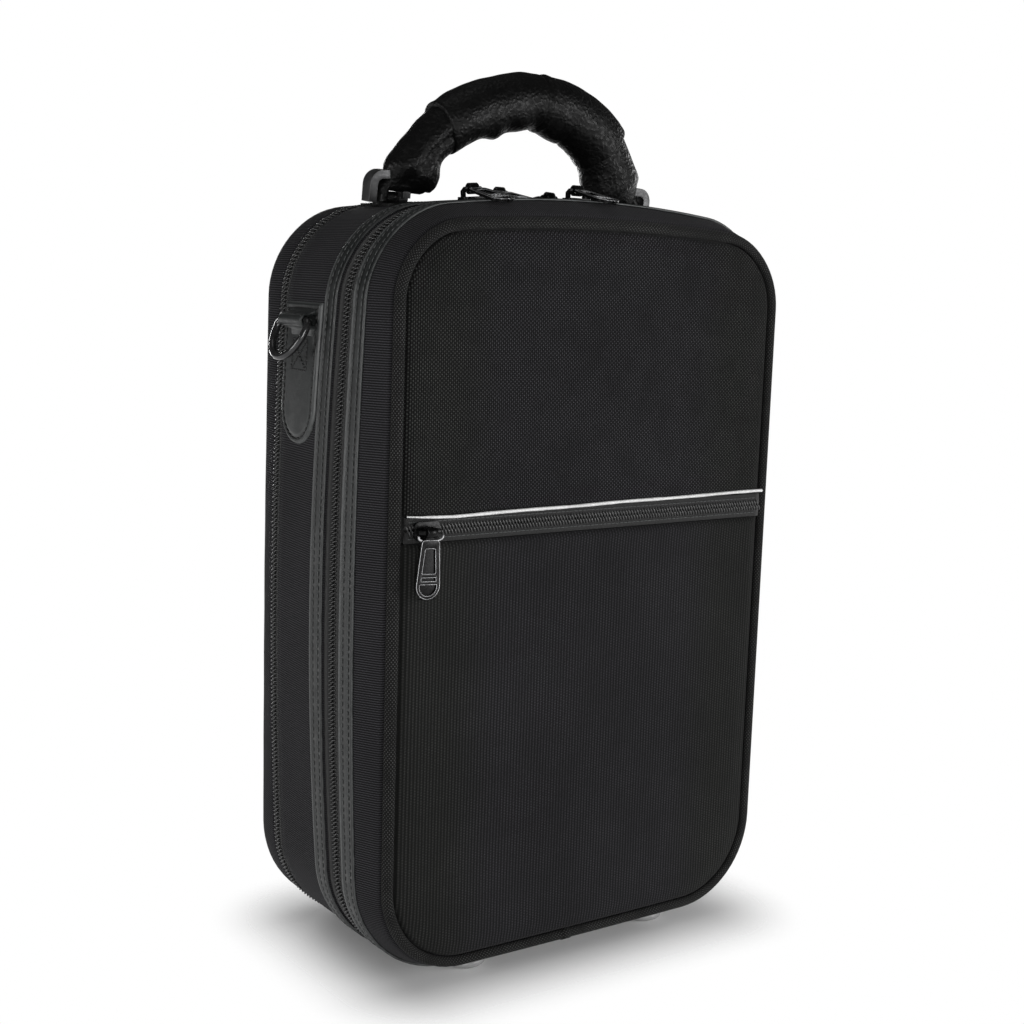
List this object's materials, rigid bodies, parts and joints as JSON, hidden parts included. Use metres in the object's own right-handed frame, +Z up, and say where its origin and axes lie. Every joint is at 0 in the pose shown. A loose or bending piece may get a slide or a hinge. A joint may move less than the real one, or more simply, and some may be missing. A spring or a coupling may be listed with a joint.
{
  "type": "clarinet case",
  "caption": "Upright black zip-round clarinet case with front pocket, rear compartment, fitted tray, padded arch handle, strap rings and feet",
  "frame": {"origin": "on the floor, under the middle of the bounding box", "axes": "+X from the left side to the right side as seen from the front pocket, +Y from the front pocket to the back cover, +Z up"},
  "size_m": [0.2672, 0.133, 0.4255],
  "materials": {
    "fabric": "woven oxford cloth",
    "vinyl": "smooth vinyl",
    "zip": "nylon coil and woven tape",
    "board": "stiffening board",
    "cord": "woven cord",
    "hardware": "dark satin grey",
    "leather": "pebbled",
    "plush": "short plush over foam",
    "foot": "moulded"
  },
  "bodies": {
    "lid": {"lid_gusset": "fabric", "lid_front_board": "board", "front_upper_panel": "fabric", "front_pocket_panel": "fabric", "front_piping": "fabric", "lid_trim": "vinyl", "lid_zip_stringer": "zip", "lid_pad": "plush", "pocket_upper_stringer": "zip", "pocket_lower_stringer": "zip", "pocket_cord": "cord", "lid_foot_left": "foot", "lid_foot_right": "foot"},
    "shell": {"shell_gusset": "fabric", "shell_trim": "vinyl", "shell_zip_stringer": "zip", "lid_hinge_strip": "fabric", "divider_board": "board", "instrument_tray": "plush", "rear_zip_shell_stringer": "zip", "rear_hinge_strip": "fabric", "left_tongue": "vinyl", "right_tongue": "vinyl", "shell_foot_left": "foot", "shell_foot_right": "foot", "handle_tab_left": "leather", "handle_tab_right": "leather"},
    "back_cover": {"back_band": "fabric", "back_board": "board", "back_panel": "fabric", "rear_zip_cover_stringer": "zip"},
    "handle": {"handle_core": "leather", "handle_grip": "leather", "handle_ring_left": "hardware", "handle_ring_right": "hardware"},
    "left_d_ring": {"left_d_ring": "hardware"},
    "right_d_ring": {"right_d_ring": "hardware"},
    "main_slider_left": {"main_slider_left": "hardware"},
    "main_pull_left": {"main_pull_left": "hardware"},
    "main_slider_right": {"main_slider_right": "hardware"},
    "main_pull_right": {"main_pull_right": "hardware"},
    "rear_slider_left": {"rear_slider_left": "hardware"},
    "rear_pull_left": {"rear_pull_left": "hardware"},
    "rear_slider_right": {"rear_slider_right": "hardware"},
    "rear_pull_right": {"rear_pull_right": "hardware"},
    "pocket_slider": {"pocket_slider": "hardware"},
    "pocket_pull": {"pocket_pull": "hardware"}
  },
  "joints": [
    {"name": "lid_swing", "type": "hinge", "parent": "shell", "child": "lid", "pos_m": [0, -0.02364, 0.0008], "axis": [1, 0, 0], "range_deg": [0, 120]},
    {"name": "back_cover_swing", "type": "hinge", "parent": "shell", "child": "back_cover", "pos_m": [0, 0.03736, 0.0002], "axis": [-1, 0, 0], "range_deg": [0, 120]},
    {"name": "handle_swing", "type": "hinge", "parent": "shell", "child": "handle", "pos_m": [0, 0.01536, 0.36174], "axis": [1, 0, 0], "range_deg": [-38, 14]},
    {"name": "left_d_ring_swing", "type": "hinge", "parent": "shell", "child": "left_d_ring", "pos_m": [-0.12416, 0.01306, 0.3048], "axis": [0, 1, 0], "range_deg": [-25, 125]},
    {"name": "right_d_ring_swing", "type": "hinge", "parent": "shell", "child": "right_d_ring", "pos_m": [0.12416, 0.01306, 0.3048], "axis": [0, -1, 0], "range_deg": [-25, 125]},
    {"name": "main_slider_left_run", "type": "hinge", "parent": "shell", "child": "main_slider_left", "pos_m": [0, -0.02364, -0.25114], "axis": [0, 1, 0], "range_deg": [-1.13, 3.74]},
    {"name": "main_slider_right_run", "type": "hinge", "parent": "shell", "child": "main_slider_right", "pos_m": [0, -0.02364, -0.25114], "axis": [0, 1, 0], "range_deg": [-0.47, 2.15]},
    {"name": "rear_slider_left_run", "type": "hinge", "parent": "shell", "child": "rear_slider_left", "pos_m": [0, 0.03736, -0.25704], "axis": [0, 1, 0], "range_deg": [-2.68, 0.83]},
    {"name": "rear_slider_right_run", "type": "hinge", "parent": "shell", "child": "rear_slider_right", "pos_m": [0, 0.03736, -0.25704], "axis": [0, 1, 0], "range_deg": [-0.74, 2.88]},
    {"name": "main_pull_left_swing", "type": "hinge", "parent": "main_slider_left", "child": "main_pull_left", "pos_m": [-0.05253, -0.02364, 0.36627], "axis": [-0.9964, 0, -0.0848], "range_deg": [0, 110]},
    {"name": "main_pull_right_swing", "type": "hinge", "parent": "main_slider_right", "child": "main_pull_right", "pos_m": [0.00707, -0.02364, 0.36846], "axis": [-0.9999, 0, 0.0114], "range_deg": [0, 110]},
    {"name": "rear_pull_left_swing", "type": "hinge", "parent": "rear_slider_left", "child": "rear_pull_left", "pos_m": [0.00404, 0.03736, 0.36909], "axis": [-1, 0, 0.0065], "range_deg": [0, 150]},
    {"name": "rear_pull_right_swing", "type": "hinge", "parent": "rear_slider_right", "child": "rear_pull_right", "pos_m": [0.03535, 0.03736, 0.3681], "axis": [0.9984, 0, -0.0565], "range_deg": [0, 100]},
    {"name": "pocket_slider_run", "type": "slide", "parent": "lid", "child": "pocket_slider", "axis": [1, 0, 0], "range_m": [0, 0.19]},
    {"name": "pocket_pull_swing", "type": "hinge", "parent": "pocket_slider", "child": "pocket_pull", "pos_m": [-0.095, -0.06394, 0.2164], "axis": [-1, 0, 0], "range_deg": [0, 150]}
  ]
}
